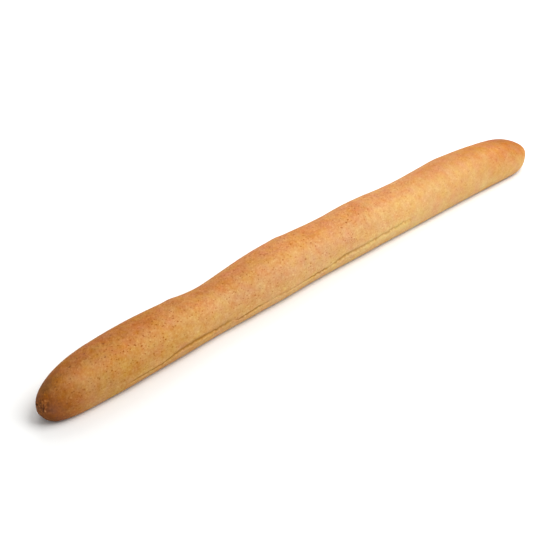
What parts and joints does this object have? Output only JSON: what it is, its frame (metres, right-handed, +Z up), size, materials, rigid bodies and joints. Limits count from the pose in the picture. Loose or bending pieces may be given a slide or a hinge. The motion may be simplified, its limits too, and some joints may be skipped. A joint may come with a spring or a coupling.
{
  "type": "baguette",
  "caption": "Long slender soft-crust baguette with rounded ends, gentle swells along its back, a flat base and a thin split low along one side.",
  "frame": {"origin": "under the middle of the loaf's box, on the plane that its flat base rests on", "axes": "+X along the loaf, +Y across it away from the side split, +Z up from the base"},
  "size_m": [0.57, 0.0544, 0.0396],
  "materials": {
    "crust": "matt golden-brown bread crust, browner on top and at the ends, paler and yellower low on the sides"
  },
  "bodies": {
    "root": {"loaf": "crust"}
  },
  "joints": []
}
